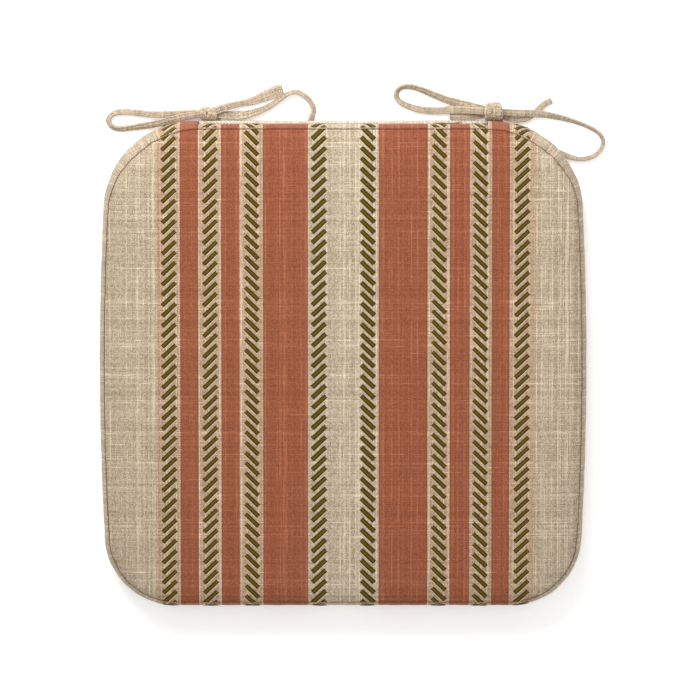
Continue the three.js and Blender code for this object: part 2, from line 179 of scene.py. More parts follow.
def axes_of(tree, place):
    """The x, y and z of a place."""
    return list(add(tree, "SeparateXYZ", {0: place}).outputs)


def noise(tree, place, scale, detail=2.0, **more):
    """The grey of a noise. scale is in patches per metre, one number or one for each way."""
    if isinstance(scale, tuple):
        place = add(tree, "VectorMath", {0: place, 1: scale}, operation="MULTIPLY").outputs[0]
        scale = 1.0
    inputs = {"Vector": place, "Scale": scale, "Detail": detail, **more}
    return add(tree, "TexNoise", inputs).outputs["Fac"]


def step_up(tree, value, low, high):
    """0 below low, 1 above high, and a smooth rise between them."""
    inputs = {"Value": value, "From Min": low, "From Max": high}
    return add(tree, "MapRange", inputs, interpolation_type="SMOOTHSTEP").outputs["Result"]


def weave_group():
    """Plain weave: yarns of uneven thickness and tone, with slubs both ways."""
    group = bpy.data.node_groups.new("linen_weave", "ShaderNodeTree")
    sockets = group.interface
    sockets.new_socket("Place", in_out="INPUT", socket_type="NodeSocketVector")
    sockets.new_socket("Yarn", in_out="INPUT", socket_type="NodeSocketFloat")
    entry = group.nodes.new("NodeGroupInput")
    place, yarn = entry.outputs["Place"], entry.outputs["Yarn"]
    x, y, _ = axes_of(group, place)

    def times(first, second):
        return calc(group, "MULTIPLY", first, second)

    def pair(first, second):
        return add(group, "CombineXYZ", {0: first, 1: second}).outputs[0]

    def random_of(first, second=0.0):
        inputs = {"Vector": pair(first, second)}
        return add(group, "TexWhiteNoise", inputs, noise_dimensions="2D").outputs["Value"]

    def swung(value, size, base):
        """A base moved by how far a value lies from its middle, 0.5, times a size."""
        return calc(group, "MULTIPLY_ADD", calc(group, "SUBTRACT", value, 0.5), size, base)

    def yarns(across, wander):
        """The count of yarns up to a place, whose courses wander a little."""
        course = noise(group, place, wander, Roughness=0.6)
        return swung(course, 0.8, calc(group, "DIVIDE", across, yarn))

    def bulge(value):
        return calc(group, "SINE", times(calc(group, "FRACT", value), math.pi))

    def pressed(own, crossing):
        """A yarn's height, lower where it goes under the edge of a crossing one."""
        return times(bulge(own), calc(group, "MULTIPLY_ADD", bulge(crossing), 0.45, 0.55))

    def on_top(weft_value, warp_value):
        inputs = {"Factor": over, "A": weft_value, "B": warp_value}
        return add(group, "Mix", inputs).outputs["Result"]

    def slubs(chosen, course, thin, thick):
        """Thick soft lengths, along some of the yarns only."""
        return times(chosen, step_up(group, noise(group, course, 1.0, 1.0), thin, thick))

    warp, weft = yarns(x, (380, 45, 1)), yarns(y, (45, 380, 1))
    warp_yarn, weft_yarn = calc(group, "FLOOR", warp), calc(group, "FLOOR", weft)
    warp_random, weft_random = random_of(warp_yarn), random_of(weft_yarn, 7.0)
    over = calc(group, "FLOORED_MODULO", calc(group, "ADD", warp_yarn, weft_yarn), 2.0)
    fibre = noise(group, place, (1300, 1300, 1), Roughness=0.7)
    blotch = noise(group, place, (60, 60, 1), Roughness=0.6)
    tone = swung(random_of(warp_yarn, weft_yarn), 1.1, 0.5)
    tone = swung(on_top(weft_random, warp_random), 1.0, tone)
    tone = swung(fibre, 0.35, tone)
    tone = swung(blotch, 0.2, tone)
    warp_course = pair(times(warp_yarn, 7.3), times(y, 22.0))
    weft_course = pair(times(x, 38.0), times(weft_yarn, 5.7))
    warp_slub = slubs(step_up(group, warp_random, 0.62, 0.95), warp_course, 0.44, 0.58)
    weft_slub = slubs(step_up(group, weft_random, 0.66, 0.96), weft_course, 0.54, 0.64)
    height = on_top(pressed(weft, warp), pressed(warp, weft))
    for value in (fibre, warp_slub, weft_slub):
        height = calc(group, "MULTIPLY_ADD", value, 0.35, height)

    results = {
        "Height": height,
        "Tone": tone,
        "Grain": fibre,
        "Warp Slub": warp_slub,
        "Weft Slub": weft_slub,
        "Warp On Top": over,
    }
    for name in results:
        sockets.new_socket(name, in_out="OUTPUT", socket_type="NodeSocketFloat")
    leave = group.nodes.new("NodeGroupOutput")
    for name, value in results.items():
        group.links.new(value, leave.inputs[name])
    return group


linen_weave = weave_group()


def on_the_cloth(tree):
    """A place by the piece's cloth map: where it lies on the flat cloth, along and across."""
    return add(tree, "UVMap", uv_map="cloth_map").outputs["UV"]


def on_the_piece(tree):
    """A place by the piece itself, in metres."""
    return add(tree, "TexCoord").outputs["Object"]


def woven(tree, yarn):
    """The weave laid over a piece by its cloth map, with yarns of that thickness."""
    weave = add(tree, "Group", node_tree=linen_weave)
    tree.links.new(on_the_cloth(tree), weave.inputs["Place"])
    weave.inputs["Yarn"].default_value = yarn
    return weave.outputs


def mix_colour(tree, factor, first, second, kind="MIX"):
    """The colour output of a colour Mix node: first where the factor is 0, second where it is 1."""
    node = tree.nodes.new("ShaderNodeMix")
    node.data_type = "RGBA"
    node.blend_type = kind
    for socket, value in ((node.inputs[0], factor), (node.inputs[6], first), (node.inputs[7], second)):
        if isinstance(value, bpy.types.NodeSocket):
            tree.links.new(value, socket)
        else:
            socket.default_value = value
    return node.outputs[2]


def dress(tree, shader, base, rough, height, strength, depth):
    """Gives a shader its colour and roughness, and a relief of that strength and depth."""
    relief = {"Strength": strength, "Distance": depth, "Height": height}
    tree.links.new(base, shader.inputs["Base Color"])
    tree.links.new(rough, shader.inputs["Roughness"])
    tree.links.new(add(tree, "Bump", relief).outputs["Normal"], shader.inputs["Normal"])


def with_slubs(tree, weave, shade, slubs, undyed=1.0):
    """A colour with pale slubs, each given as how strongly it shows and its own colour."""
    for output, (strength, pale) in zip(("Warp Slub", "Weft Slub"), slubs):
        shown = calc(tree, "MULTIPLY", calc(tree, "MULTIPLY", weave[output], strength), undyed)
        shade = mix_colour(tree, shown, shade, pale)
    return shade


def linen_surface(tree, shader, weave, base, rough, bump):
    """Gives linen its colour, with painted shade between the yarns, its relief and a faint sheen."""
    # Painted shade: the colour darkens where the weave's relief is low, between the yarns.
    yarn_gap_shade = calc(tree, "MULTIPLY_ADD", weave["Height"], 0.5, 0.46)
    shaded = mix_colour(tree, 1.0, base, yarn_gap_shade, "MULTIPLY")
    rough = calc(tree, "MULTIPLY_ADD", weave["Grain"], 0.2, rough)
    dress(tree, shader, shaded, rough, weave["Height"], bump, 0.35 * MM)
    shader.inputs["Sheen Weight"].default_value = 0.04
    shader.inputs["Sheen Roughness"].default_value = 0.5


def undyed_linen(name, base, yarn, contrast, bump):
    """Plain linen in one colour, with its weave and slubs, and paler and darker yarns."""
    material, tree, shader = new_material(name)
    weave = woven(tree, yarn)
    dark = tuple(c * (1 - 0.34 * contrast) for c in base[:3]) + (1,)
    light = tuple(min(1, c * 1.22) for c in base[:3]) + (1,)
    tones = add(tree, "ValToRGB", {"Fac": weave["Tone"]})
    tones.color_ramp.elements.new(0.5)
    steps = zip(tones.color_ramp.elements, (0.08, 0.5, 0.95), (dark, base, light))
    for element, position, shade in steps:
        element.position = position
        element.color = shade
    slubs = (0.35, colour(222, 207, 182)), (0.3, colour(216, 198, 172))
    shade = with_slubs(tree, weave, tones.outputs["Color"], slubs)
    linen_surface(tree, shader, weave, shade, 0.75, bump)
    return material


tie_linen = undyed_linen("tie_linen", colour(214, 193, 167), 0.85 * MM, contrast=1.25, bump=0.8)


def run_of(points):
    """How far along a line of points each one is."""
    return np.concatenate([[0], np.cumsum(np.linalg.norm(np.diff(points, axis=0), axis=1))])


def unit(vectors):
    """Those vectors, each one long."""
    return vectors / np.linalg.norm(vectors, axis=1)[:, None]


def smooth_route(points, step):
    """A smooth curve through points given in millimetres, as points equal steps apart."""
    given = np.array(points, float) * MM
    ends = np.vstack([2 * given[0] - given[1], given, 2 * given[-1] - given[-2]])
    share = np.linspace(0, 1, 16, endpoint=False)[:, None]
    spans = [
        0.5 * (2 * b + (c - a) * share + (2 * a - 5 * b + 4 * c - d) * share**2
               + (3 * b - a - 3 * c + d) * share**3)
        for a, b, c, d in zip(ends, ends[1:], ends[2:], ends[3:])
    ]
    curve = np.vstack(spans + [given[-1:]])
    run = run_of(curve)
    stations = np.linspace(0, run[-1], round(run[-1] / step) + 1)
    return np.column_stack([np.interp(stations, run, curve[:, k]) for k in range(3)])


def softened(values, reach):
    """Values along a line, each averaged with its neighbours up to reach steps away."""
    edged = np.concatenate([[values[0]] * reach, values, [values[-1]] * reach])
    return np.convolve(edged, np.ones(2 * reach + 1) / (2 * reach + 1), mode="valid")


def unevenness(along, across=0.0):
    """Irregular gentle swings between about -1 and 1, the same in every run."""
    return (
        np.sin(along + 1.3 * np.sin(0.7 * across + 0.4))
        + np.sin(1.73 * along + 1.31 * across + 1.1)
        + np.sin(2.91 * along - 0.93 * across + 2.3)
    ) / 2.4


def tape_section(pleats):
    """Points round a folded tape one wide and one thick: fold, topstitched edge and pleats."""
    turn = np.linspace(0, 2 * math.pi, tie_section_points, endpoint=False)
    across = np.sign(np.cos(turn)) * np.abs(np.cos(turn)) ** 0.8
    up = np.sign(np.sin(turn)) * np.abs(np.sin(turn)) ** 0.62
    up *= 1 - 0.6 * np.exp(-(((across - 0.6) / 0.13) ** 2)) * (pleats == 0)
    up *= 1 + 0.2 * np.cos(pleats * math.pi * across) * (pleats > 0)
    return across / 2, up / 2


def tube_faces(rings, around, start=0):
    """The faces between rings of points that follow each other from the start point on."""
    return [
        (low + k, low + (k + 1) % around, low + around + (k + 1) % around, low + around + k)
        for low in range(start, start + (rings - 1) * around, around)
        for k in range(around)
    ]


def flat_ends(rings, around, start=0):
    """The faces that close a tube's two ends, each with its own ring."""
    last = start + (rings - 1) * around
    return [tuple(range(start, start + around))[::-1], tuple(range(last, last + around))]


def pointed_ends(rings, around):
    """The faces that close a tube's two ends with the two middle points after its rings."""
    last, middles = (rings - 1) * around, rings * around
    faces = []
    for k in range(around):
        after = (k + 1) % around
        faces += [(after, k, middles), (last + k, last + after, middles + 1)]
    return faces


def tape(name, centres, sides, widths, thicknesses, pleats=0):
    """A folded tape swept along its centres, wide along its sides vectors."""
    tangents = unit(np.gradient(centres, axis=0))
    sides = unit(sides - tangents * np.sum(sides * tangents, axis=1)[:, None])
    ups = np.cross(sides, tangents)
    across, up = tape_section(pleats)
    count = len(across)
    run = run_of(centres)
    crumple = 0.16 * MM * np.outer(unevenness(run / (2.6 * MM)), np.cos(np.linspace(0, 6, count)))
    rings = (
        centres[:, None]
        + sides[:, None] * np.outer(widths, across)[:, :, None]
        + ups[:, None] * (np.outer(thicknesses, up) + crumple)[:, :, None]
    )
    rings[:, :, 2] = np.maximum(rings[:, :, 2], floor_gap)
    points = list(rings.reshape(-1, 3)) + [centres[0], centres[-1]]
    around = run_of(np.column_stack([across, up * 0.3])) * tie_girth
    flat = [(place, along) for along in run for place in around] + [(0, run[0]), (0, run[-1])]
    faces = tube_faces(len(run), count) + pointed_ends(len(run), count)
    return plain_piece(name, points, faces, tie_linen, cloth_map=flat)


def lying_tape(name, anchor, points, lies):
    """A tie along its route. lies gives its width, thickness and roll at shares of its length."""
    centres = smooth_route(points, 1.1 * MM)
    share = np.linspace(0, 1, len(centres))
    table = np.array(lies)
    widths, thicknesses, rolls = (
        softened(np.interp(share, table[:, 0], table[:, k]), 5) for k in (1, 2, 3)
    )
    widths = widths * MM * (1 + 0.05 * unevenness(share * 41))
    thicknesses = thicknesses * MM * (1 + 0.08 * unevenness(share * 67 + 2))
    rolls = np.radians(rolls)
    half_height = (
        np.abs(np.sin(rolls)) * widths / 2 * 0.92 + np.abs(np.cos(rolls)) * thicknesses / 2
    )
    centres[:, 2] = softened(np.maximum(centres[:, 2], half_height + tie_lift), 3)
    centres += np.array(anchor)
    tangents = unit(np.gradient(centres, axis=0))
    level = unit(np.cross(tangents, (0, 0, 1)))
    ups = np.cross(level, tangents)
    sides = level * np.cos(rolls)[:, None] + ups * np.sin(rolls)[:, None]
    return tape(name, centres, sides, widths, thicknesses), centres


def knot_turn(name, anchor, centre, reach, slant, width, thickness):
    """A turn of tape round the strands of a bow. reach is its half size across and up."""
    turned = np.linspace(0, 2.5 * math.pi, 64)
    angles = turned - 0.75 * math.pi
    growth = 1 + 0.05 * turned / (2 * math.pi)
    centres = np.array(centre) + np.column_stack([
        slant * np.sin(angles) + 0.4 * unevenness(angles * 2),
        reach[0] * growth * np.cos(angles),
        reach[1] * growth * np.sin(angles),
    ])
    sides = np.tile([1.0, 0.0, 0.0], (len(angles), 1))
    widths = width * MM * (1 + 0.1 * np.cos(angles * 2 + 0.6))
    thicknesses = np.full(len(angles), thickness * MM)
    return tape(name, centres * MM + np.array(anchor), sides, widths, thicknesses, pleats=3)


# Each tie's route from its root on, in millimetres: across, out from the back edge, and up.
left_lead_route = [
    (84, -9, 2.2), (84.6, -2, 2.2), (86.6, 4.5, 2), (87.6, 9.5, 1.8), (85.6, 14.6, 1.8), (80.8, 20, 2.2),
    (73.8, 23.8, 4), (66.4, 22.2, 5), (60, 18.2, 4.6), (53.4, 13.4, 2.4), (43.2, 8.4, 1.8), (30, 4.6, 2),
    (17, 4.2, 3), (8, 5, 4.2), (0, 5.6, 4.2), (-5.5, 5.6, 2.8), (-10, 5.4, 1.9), (-20, 5, 1.6),
    (-29, 4.4, 1.6),
]
left_loop_route = [
    (12, -9, 2.2), (9.5, -4, 2.2), (6, 1, 3), (1.5, 4.6, 5.6), (-3, 5.6, 7.6), (-8.5, 5.2, 8.4),
    (-20.5, 3.2, 8.4), (-30, 0.9, 7.8), (-38.5, -1.3, 6), (-48, -3.4, 3.6), (-58, -5, 2), (-68, -6.4, 1.8),
    (-75.6, -6.8, 1.8), (-81, -4.6, 1.8), (-83.4, 0, 1.8), (-81, 4.6, 1.8), (-75, 7, 1.8), (-68, 7.2, 1.8),
    (-60, 6.6, 1.8), (-50, 5.4, 2), (-42, 5.2, 3), (-33, 5.4, 4.7), (-22, 6.1, 5), (-10, 6.4, 5),
    (-2, 6.2, 6), (5, 8, 7.6), (12, 10.5, 6.8), (18, 12.3, 4.8), (26, 14, 2.6), (36, 16, 1.8),
    (47, 20.4, 1.7), (55, 23.6, 1.7), (62, 25.6, 1.7),
]
right_lead_route = [
    (50, -26, 2.2), (57, -28, 2.2), (64, -30.4, 2), (71, -32, 1.8), (79.4, -31.2, 1.8), (86.1, -27.6, 1.8),
    (90.2, -21.9, 1.8), (90.9, -16.1, 1.8), (87, -10.3, 1.8), (79.4, -5.6, 1.8), (69.9, -1.8, 1.9),
    (60.3, 1.2, 2.6), (50.6, 3.5, 4), (41, 5.1, 5), (30, 6, 5.2), (18, 6.4, 5.6), (8, 7, 6), (1, 7, 5.4),
    (-4, 6, 4.2), (-8, 4.8, 3.6), (-13, 3.6, 3.2), (-20, 3.1, 3), (-28, 3, 2.8), (-37, 3.1, 2.4),
]
right_loop_route = [
    (6, -9, 2.2), (5, -4, 2.2), (3.4, 1, 2.8), (-0.6, 6, 4.4), (-8.4, 9.6, 4.8), (-20, 12.4, 4.2),
    (-35.9, 16, 2), (-48.4, 20.8, 1.8), (-61.2, 26, 1.8), (-70, 28.4, 1.8), (-77.6, 27.4, 1.8),
    (-81.6, 22.4, 1.8), (-79.6, 16.6, 1.8), (-71.8, 12.2, 1.8), (-61.2, 9.2, 2), (-48.5, 8.2, 2.6),
    (-38, 8.8, 3.4), (-28, 9, 4.6), (-18, 8.6, 6.6), (-8, 7.8, 8.4), (-1, 7.6, 8.4), (4, 5.4, 5.4),
    (8.4, 3, 2.6), (13, 1.6, 1.8), (20, 0.8, 1.8), (27, 2, 1.8), (33.4, 5.6, 1.8), (38, 10.4, 1.8),
    (42.6, 14, 1.8), (48, 16.8, 1.8),
]
# Each row: share of the length, width, thickness (both in millimetres), roll in degrees.
left_lead_lies = [
    (0, 7, 2.4, 0), (0.1, 5, 2.8, -40), (0.3, 4.8, 2.8, -58), (0.48, 5.6, 2.8, -44),
    (0.62, 8.4, 2.6, -34), (0.74, 6.8, 2.8, -12), (0.85, 5.4, 2.8, 0), (1, 5.8, 2.6, 0),
]
left_loop_lies = [
    (0, 7, 2.4, 0), (0.08, 6, 2.8, 0), (0.14, 6, 3, 8), (0.25, 6.4, 3, 20), (0.36, 5.4, 3, 48),
    (0.44, 5.2, 3, 52), (0.5, 5.4, 3, 30), (0.6, 5.6, 3, 6), (0.7, 5.4, 3, 0), (0.8, 6.2, 3, 6),
    (0.87, 5.2, 2.9, 14), (0.92, 8, 2.4, 8), (0.95, 9.8, 2.1, 3), (1, 9.8, 1.9, 0),
]
right_lead_lies = [
    (0, 6.4, 2.4, 20), (0.08, 4.8, 2.5, 50), (0.22, 4.6, 2.4, 64), (0.42, 4.8, 2.4, 56),
    (0.54, 5.6, 2.8, 24), (0.66, 6.2, 3, 4), (0.86, 5.2, 2.8, 0), (1, 5.4, 2.6, 0),
]
right_loop_lies = [
    (0, 7, 2.4, 0), (0.1, 5.8, 3, 0), (0.2, 6.8, 3, 16), (0.3, 6, 3, 34), (0.38, 5.2, 3, 52),
    (0.45, 5.2, 3, 50), (0.55, 6.2, 3, 22), (0.66, 6.4, 3, 4), (0.8, 5.2, 3, 0), (0.9, 5.4, 2.8, 30),
    (1, 5.2, 2.4, 12),
]

for side, anchor, lead_route, lead_lies, loop_route, loop_lies, wraps in (
    ("left", left_bow_anchor, left_lead_route, left_lead_lies, left_loop_route, left_loop_lies,
     ({"centre": (0, 5.6, 6.2), "reach": (4.2, 4.3), "slant": 3.4, "width": 8.5, "thickness": 3},
      {"centre": (-1.6, 5.8, 6.4), "reach": (4.5, 4.9), "slant": -2.4, "width": 6, "thickness": 2.4})),
    ("right", right_bow_anchor, right_lead_route, right_lead_lies, right_loop_route, right_loop_lies,
     ({"centre": (0, 7.2, 7), "reach": (6.2, 5), "slant": 3, "width": 9, "thickness": 3.4},
      {"centre": (-1.4, 7, 7.2), "reach": (6.2, 5.8), "slant": -3.4, "width": 7.4, "thickness": 3})),
):
    knot = [
        knot_turn(f"tie_{side}_knot_{name}", anchor, **turn)
        for name, turn in zip(("wrap", "cross"), wraps)
    ]
    for turn in knot:
        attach(turn, "pad")
        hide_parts(f"tie_{side}_knot")
    for part, route, lies, nodes in (
        ("lead", lead_route, lead_lies, ("lead", "short_tail")),
        ("loop", loop_route, loop_lies, ("loop", "tail")),
    ):
        piece, centres = lying_tape(f"tie_{side}_{part}_strip", anchor, route, lies)
        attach(piece, "pad")
        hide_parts(*[f"tie_{side}_{node}" for node in nodes])

# ---------------------------------------------------------------- top panel of the cover
# The face of the cover is one piece of the striped cloth, cut with round corners, filled
# out by the wadding under it and sewn to the boxing all round with the raw edges inside.
# It pulls in at the stitches in small puckers, most of all at the corners.
back_corner_radius = 75 * MM
front_corner_radius = 59 * MM
side_bow = 3.5 * MM
cloth_thickness = 0.8 * MM
rim = 30 * MM
half_width = boxing_high.x
half_depth = boxing_high.y
corner_half_width = half_width - side_bow
seam_height = boxing_high.z
panel_high = Vector(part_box("top_panel")[1])
panel_edge = half_width - panel_high.x
crown = panel_high.z - seam_height
crown_softness = 7 * MM
seam_gap = 0.3 * MM
back_seam_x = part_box("boxing_back_upper")[1][0] + seam_gap


def outline_base(spacing):
    """Points round the pad's widest line, from the middle of the back edge clockwise as seen
    from above, with their outward directions and how far round each one is."""
    back_start = corner_half_width - back_corner_radius
    front_start = corner_half_width - front_corner_radius
    back_corner_y = half_depth - back_corner_radius
    front_corner_y = front_corner_radius - half_depth
    places, outs = [], []

    def straight(x_from, x_to, y, out_y):
        count = max(1, round(abs(x_to - x_from) / spacing))
        for k in range(count):
            places.append((x_from + (x_to - x_from) * k / count, y))
            outs.append((0, out_y))

    def corner(middle_x, middle_y, radius, start):
        count = max(4, round(radius * math.pi / 2 / spacing))
        for k in range(count):
            angle = start - math.pi / 2 * k / count
            out = (math.cos(angle), math.sin(angle))
            places.append((middle_x + radius * out[0], middle_y + radius * out[1]))
            outs.append(out)

    def bowed_side(sign, y_from, y_to):
        count = max(4, round(abs(y_to - y_from) / spacing))
        middle = (y_from + y_to) / 2
        for k in range(count):
            y = y_from + (y_to - y_from) * k / count
            share = (y - middle) / (y_to - middle)
            places.append((sign * (corner_half_width + side_bow * (1 - share**2)), y))
            lean = 2 * side_bow * share / (y_to - middle)
            outs.append((sign / math.hypot(1, lean), lean / math.hypot(1, lean)))

    stops = [0, back_seam_x - seam_gap, back_seam_x, back_start]
    for x_from, x_to in zip(stops, stops[1:]):
        straight(x_from, x_to, half_depth, 1)
    corner(back_start, back_corner_y, back_corner_radius, math.pi / 2)
    bowed_side(1, back_corner_y, front_corner_y)
    corner(front_start, front_corner_y, front_corner_radius, 0)
    straight(front_start, -front_start, -half_depth, -1)
    corner(-front_start, front_corner_y, front_corner_radius, -math.pi / 2)
    bowed_side(-1, front_corner_y, back_corner_y)
    corner(-back_start, back_corner_y, back_corner_radius, math.pi)
    for x_from, x_to in zip(stops[::-1], stops[-2::-1]):
        straight(-x_from, -x_to, half_depth, 1)
    places, outs = np.array(places), np.array(outs)
    steps = np.linalg.norm(np.roll(places, -1, axis=0) - places, axis=1)
    return places, outs, np.concatenate([[0], np.cumsum(steps)[:-1]]), float(steps.sum())


edge_places, edge_outs, edge_run, edge_length = outline_base(3 * MM)


def corner_share(run):
    """1 in the middle of each round corner and 0 along the straight edges."""
    angle = np.arctan2(edge_outs[:, 1], edge_outs[:, 0])
    turned = np.abs(np.sin(2 * angle))
    return np.interp(run, edge_run, softened(turned, 6))


def drawn_in(run):
    """How much further in the top seam lies than its plain line: it is drawn in along the back
    and most of all at the back corners, where the wall is fullest."""
    back = np.interp(run, edge_run, softened(np.clip(edge_outs[:, 1], 0, 1), 8))
    corner = corner_share(run)
    wobble = 0.35 * MM * unevenness(run / (6.3 * MM), 2.2) * (0.25 + corner)
    return (1.3 * back + 3.2 * back * corner + 0.7 * corner) * MM + wobble


def pucker(run, depth):
    """How far the cloth rises or dips beside a seam, at a run round it and a distance from it."""
    strength = (0.16 + 0.34 * corner_share(run)) * MM
    wide = unevenness(run / (5.2 * MM), 0.7)
    fine = unevenness(run / (2.3 * MM), 4.1)
    return strength * (wide * np.exp(-depth / (11 * MM)) + 0.6 * fine * np.exp(-depth / (4 * MM)))


def round_form(name, rings, material, drawn=0.0):
    """A closed form of rings round the pad's outline, each (inset, height or height function),
    with a middle point at either end. Rings further in than the rim shrink towards the middle.
    drawn is how much further in the rings near the seam lie, all round."""
    places = []
    for inset, height in rings:
        lie = min(inset, rim) + drawn * math.exp(-max(inset - panel_edge, 0) / (14 * MM))
        flat = edge_places - edge_outs * np.broadcast_to(lie, len(edge_run))[:, None]
        flat = flat * (1 - max(inset - rim, 0) / (half_depth - rim))
        tall = height(flat, inset) if callable(height) else np.broadcast_to(height, len(flat))
        places.append(np.column_stack([flat, tall]))
    tops = [[(0, 0, float(np.mean(places[end][:, 2])))] for end in (0, -1)]
    points = np.vstack(places + tops)
    count = len(edge_places)
    skin = tube_faces(len(rings), count)
    faces = [(b, a, d, c) for a, b, c, d in skin] + pointed_ends(len(rings), count)
    return plain_piece(name, points, faces, material, cloth_map=points[:, :2])


# The cloth: linen at both sides, then bands of tan and terracotta, and a cream band in the
# middle. Each row is where a band starts, in millimetres across the pad, and its colour.
linen = colour(190, 171, 145)
tan = colour(188, 157, 128)
terracotta = colour(156, 84, 51)
cream = colour(196, 177, 151)
bands = [
    (-203.0, linen), (-155.2, tan), (-135.1, terracotta), (-119.9, tan), (-100.9, terracotta),
    (-85.7, tan), (-66.4, terracotta), (-29.0, cream), (29.6, terracotta), (70.1, tan),
    (88.6, terracotta), (105.0, tan), (123.4, terracotta), (138.1, tan), (159.9, linen),
]


def banded(tree, across, rows):
    """The colour of the band that a place across the pad lies in."""
    shade = rows[0][1]
    for start, after in rows[1:]:
        past = calc(tree, "GREATER_THAN", across, start * MM)
        shade = mix_colour(tree, past, shade, after)
    return shade


def border_yarns(tree, across, shade, width):
    """1 on the yarns at either border of each band of that colour, and 0 elsewhere."""
    mask = 0.0
    for (start, own), (end, _) in zip(bands, bands[1:]):
        if own == shade:
            for border in (start + width / 2, end - width / 2):
                near = calc(tree, "COMPARE", across, border * MM, width / 2 * MM)
                mask = calc(tree, "MAXIMUM", mask, near)
    return mask


def striped_cloth():
    """The striped linen weave of the face and boxing. The stripes run from front to back."""
    material, tree, shader = new_material("striped_linen")
    weave = woven(tree, 1.0 * MM)
    ragged = 0.35 * MM
    x, _, _ = axes_of(tree, on_the_piece(tree))
    across = calc(tree, "MULTIPLY_ADD", weave["Warp On Top"], ragged, x)
    base = banded(tree, across, bands)
    pale = calc(tree, "MULTIPLY", border_yarns(tree, across, tan, 1.3), 0.3)
    base = mix_colour(tree, pale, base, colour(214, 192, 164))
    deep = calc(tree, "MULTIPLY", border_yarns(tree, across, terracotta, 0.9), 0.35)
    base = mix_colour(tree, deep, base, colour(132, 70, 46))

    # Each yarn has a tone of its own; terracotta yarns differ less than the undyed ones.
    plain, dyed_yarn = (0, 0, 0, 1), (1, 1, 1, 1)
    dyed = banded(tree, across, [(s, dyed_yarn if c == terracotta else plain) for s, c in bands])
    tone = calc(tree, "SUBTRACT", weave["Tone"], 0.5)
    spread = mix_colour(tree, dyed, (0.42, 0.47, 0.55, 1), (0.28, 0.42, 0.54, 1))
    tone = add(tree, "VectorMath", {0: tone, 1: spread, 2: (1, 1, 1)}, operation="MULTIPLY_ADD")
    base = mix_colour(tree, 1.0, base, tone.outputs[0], "MULTIPLY")
    undyed = calc(tree, "SUBTRACT", 1.0, calc(tree, "MULTIPLY", dyed, 0.9))
    slubs = (0.3, colour(222, 206, 180)), (0.22, colour(220, 204, 178))
    base = with_slubs(tree, weave, base, slubs, undyed)
    linen_surface(tree, shader, weave, base, 0.74, 0.5)
    return material


striped_linen = striped_cloth()


def panel_top(places, inset):
    """The height of the face, at places inset that far from the widest line."""
    depth = max(inset - panel_edge, 0)
    swell = crown * (1 - math.exp(-depth / crown_softness))
    waves = 0.35 * MM * unevenness(places[:, 0] / (31 * MM), places[:, 1] / (37 * MM))
    settled = 1 - math.exp(-depth / (22 * MM))
    height = seam_height + swell + waves * settled - 0.25 * MM
    return height + pucker(edge_run, depth)


def panel_under(places, inset):
    return panel_top(places, inset) - cloth_thickness


# The face's rings lie close together near the seam, and wider apart towards the middle.
near_seam = (0.25, 0.7, 1.3, 2.1, 3.1, 4.3, 5.8, 7.6, 9.8, 12.4, 15.5, 19, 23)
to_middle = [rim + (half_depth - rim) * share for share in np.linspace(0, 0.985, 40)]
face_rings = [panel_edge + reach * MM for reach in near_seam] + to_middle
# The seam allowance, in millimetres in from the panel's edge and up from the seam: down its
# outer side, and back up its inner side.
turn_in = [(-0.15, -0.35), (-0.4, -0.9), (-0.5, -1.7), (-0.5, -3.6), (-0.5, -5.9)]
turn_in += [(0.3, -5.9), (0.3, -3.6), (0.35, -1.9), (0.75, -1.1)]


def fold_down(shift, drop):
    """A ring of the seam allowance, where the cloth turns down inside the seam."""
    inset = panel_edge + shift * MM
    return inset, seam_height + drop * MM + 0.5 * pucker(edge_run, 0)


rings = [(inset, panel_top) for inset in face_rings[::-1]]
rings += [fold_down(*row) for row in turn_in]
rings += [(inset + cloth_thickness, panel_under) for inset in face_rings[:-1:3]]
top_panel = round_form("cover_top_panel", rings, striped_linen, drawn=drawn_in(edge_run))
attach(top_panel, "pad")
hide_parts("top_panel")

# ---------------------------------------------------------------- boxing
# The wall of the cover: one long strip of the striped cloth round the front and sides, and
# two short ones across the back that meet at the zip. The lower back strip is plain linen.
wall_foot = boxing_low.z
wall_bulge = 3.5 * MM


def wall_rows(profile):
    """A cloth wall's closed section from its outer profile of (inset, height) rows."""
    outer = np.array(profile)
    up_the_wall = np.gradient(outer, axis=0)
    inward = unit(np.column_stack([up_the_wall[:, 1], -up_the_wall[:, 0]]))
    inner = outer + inward * cloth_thickness
    return np.vstack([outer, inner[::-1]])


def wall(name, indices, section, material, wrinkle):
    """A strip of the wall along those points of the outline, in order."""
    count = len(section)
    share = (section[:, 1] - wall_foot) / (seam_height - wall_foot)
    middle = np.clip(4 * share * (1 - share), 0, 1)
    wraps = 0 in indices
    points, flat = [], []
    for k in indices:
        run = edge_run[k] - (edge_length if wraps and edge_run[k] > edge_length / 2 else 0)
        swing = wrinkle * MM * (
            0.6 * middle * unevenness(run / (9 * MM), section[:, 1] / (9 * MM))
            + 0.35 * (1 - middle) * unevenness(run / (3.1 * MM), section[:, 1] / (20 * MM))
        )
        inset = section[:, 0] - swing * (0.4 + 0.6 * float(corner_share(edge_run[k])))
        inset = inset + drawn_in(edge_run[k]) * np.clip(2 * share - 1, 0, 1.1) ** 2
        lift = pucker(edge_run[k], 0) * 0.5 * np.clip((share - 0.8) / 0.2, 0, 1)
        spots = edge_places[k] - edge_outs[k] * inset[:, None]
        points.append(np.column_stack([spots, section[:, 1] + lift]))
        flat.append(np.column_stack([np.full(count, run), section[:, 1]]))
    faces = tube_faces(len(indices), count)
    for base in (0, (len(indices) - 1) * count):
        for k in range(count // 2 - 1):
            face = (base + k, base + k + 1, base + count - 2 - k, base + count - 1 - k)
            faces.append(face if base else face[::-1])
    return plain_piece(name, np.vstack(points), faces, material, cloth_map=np.vstack(flat))


